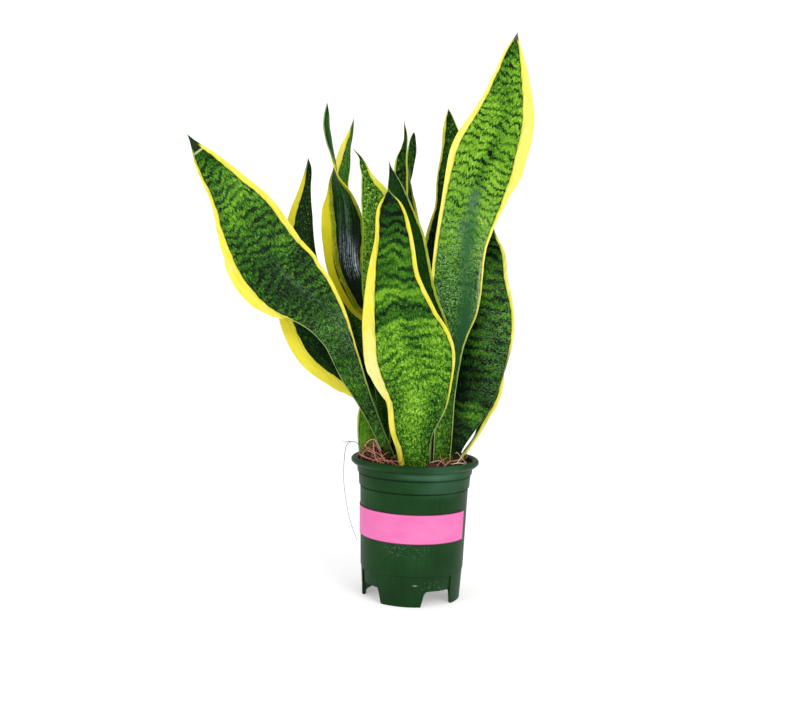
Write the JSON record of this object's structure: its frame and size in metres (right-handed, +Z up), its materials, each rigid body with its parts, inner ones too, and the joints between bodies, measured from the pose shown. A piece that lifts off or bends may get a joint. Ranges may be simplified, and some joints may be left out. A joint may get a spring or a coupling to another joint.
{
  "type": "potted snake plant",
  "caption": "Snake plant with sword-shaped, yellow-edged leaves standing in a bed of coir soil in a slim ridged nursery pot with a plain label band.",
  "frame": {"origin": "on the ground plane, under the middle of the plant's own bounding box", "axes": "+Z up along the pot's axis and the leaves, -Y towards the front of the plant, +X to the viewer's right"},
  "size_m": [0.2668, 0.1116, 0.447],
  "materials": {
    "leaf": "waxy green leaf, mottled in dark bands, with yellow margins",
    "soil": "matt coir soil",
    "pot": "satin moulded green plastic",
    "label": "smooth pink film"
  },
  "bodies": {
    "root": {"pot": "pot", "label": "label", "soil": "soil", "leaf_front": "leaf", "leaf_left": "leaf", "leaf_tall": "leaf", "leaf_right": "leaf", "leaf_right_back": "leaf", "leaf_far_left": "leaf", "leaf_twisted": "leaf", "leaf_back_left": "leaf", "leaf_inner_left": "leaf", "leaf_inner_right": "leaf", "leaf_slim_left": "leaf", "leaf_slim_right": "leaf", "leaf_back": "leaf"}
  },
  "joints": []
}
